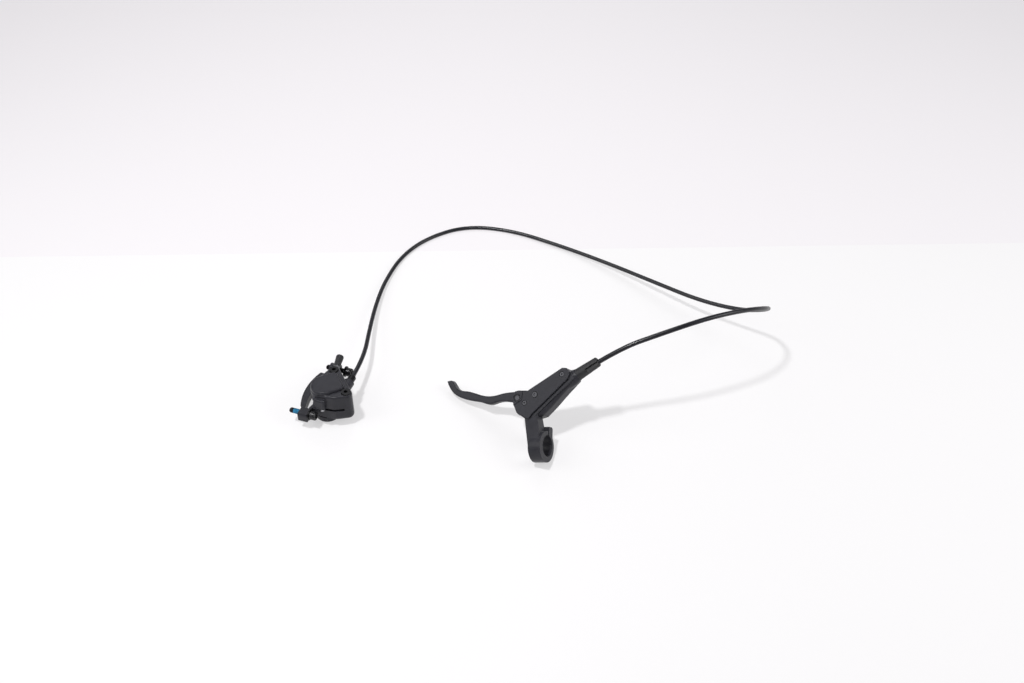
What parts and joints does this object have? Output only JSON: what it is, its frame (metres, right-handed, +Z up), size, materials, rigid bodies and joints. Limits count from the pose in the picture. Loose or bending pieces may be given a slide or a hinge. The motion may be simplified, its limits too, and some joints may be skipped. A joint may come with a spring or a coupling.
{
  "type": "hydraulic disc brake",
  "caption": "Bicycle hydraulic disc brake: flat-bar lever with a two-finger blade and split handlebar clamp, black hose, and post-mount caliper with pistons and pads.",
  "frame": {"origin": "centre of the handlebar clamp's bore", "axes": "+Z up from the table, +X along the table from the caliper to the lever's clamp, +Y away from the viewer"},
  "size_m": [0.4764, 0.3827, 0.1266],
  "materials": {
    "black_aluminium": "satin black anodised",
    "black_steel": "black oxide",
    "bright_steel": "satin",
    "bronze": "plain",
    "brass": "plain",
    "bright_aluminium": "turned",
    "piston_resin": "moulded resin",
    "lining": "resin friction lining",
    "rubber": "matte",
    "hose": "glossy nylon jacket"
  },
  "bodies": {
    "brake_body": {"master_cylinder_body": "black_aluminium", "reservoir_cover": "black_aluminium", "reservoir_diaphragm": "rubber", "cover_screws": "black_steel", "bleed_screw": "black_steel", "bleed_o_ring": "rubber", "lever_axle": "bright_steel", "axle_clip": "bright_steel", "piston_snap_ring": "bright_steel", "dust_boot": "rubber", "return_spring": "bright_steel", "hose_nut": "bright_steel", "lever_olive": "brass", "lever_hose_insert": "brass", "hose_cover": "rubber", "clamp_bolt": "black_steel", "brake_hose": "hose", "hose_joint": "black_steel", "caliper_hose_insert": "brass", "caliper_inner_half": "black_aluminium", "caliper_outer_half": "black_aluminium", "body_bolts": "black_steel", "inner_piston_seal": "rubber", "outer_piston_seal": "rubber", "joint_o_ring": "rubber", "pad_spring": "bright_steel", "pad_axle": "black_steel", "mount_bolts": "black_steel", "mount_washers": "bright_steel", "bleed_nipple": "bright_steel", "nipple_cap": "rubber"},
    "lever": {"lever_blade": "black_aluminium", "lever_bushes": "bronze"},
    "reach_screw": {"reach_screw": "bright_steel"},
    "master_piston": {"master_piston": "bright_aluminium", "primary_cup": "rubber", "secondary_cup": "rubber", "push_rod": "bright_steel"},
    "outer_pad": {"outer_piston": "piston_resin", "outer_pad_plate": "bright_steel", "outer_pad_lining": "lining"},
    "inner_pad": {"inner_piston": "piston_resin", "inner_pad_plate": "bright_steel", "inner_pad_lining": "lining"}
  },
  "joints": [
    {"name": "lever_pivot", "type": "hinge", "parent": "brake_body", "child": "lever", "pos_m": [-0.03404, 0.0405, 0.01739], "axis": [-0.3372, -0.5592, 0.7574], "range_deg": [0, 18.5], "stiffness_Nm_per_rad": 0.5, "springref_deg": -28.65},
    {"name": "reach_turn", "type": "hinge", "parent": "lever", "child": "reach_screw", "pos_m": [-0.03073, 0.02967, 0.01087], "axis": [0.6887, 0.4019, 0.6034], "range_deg": [-180, 180]},
    {"name": "piston_slide", "type": "slide", "parent": "brake_body", "child": "master_piston", "axis": [0.6887, 0.4019, 0.6034], "range_m": [0, 0.0038], "deforming": ["return_spring"]},
    {"name": "outer_pad_slide", "type": "slide", "parent": "brake_body", "child": "outer_pad", "axis": [0, -0.1045, -0.9945], "range_m": [0, 0.0006]},
    {"name": "inner_pad_slide", "type": "slide", "parent": "brake_body", "child": "inner_pad", "axis": [0, 0.1045, 0.9945], "range_m": [0, 0.0006]}
  ],
  "couplings": [
    {"joint": "piston_slide", "follows": "lever_pivot", "m_per_rad": 0.0117},
    {"joint": "outer_pad_slide", "follows": "lever_pivot", "m_per_rad": 0.0017},
    {"joint": "inner_pad_slide", "follows": "lever_pivot", "m_per_rad": 0.0017}
  ]
}
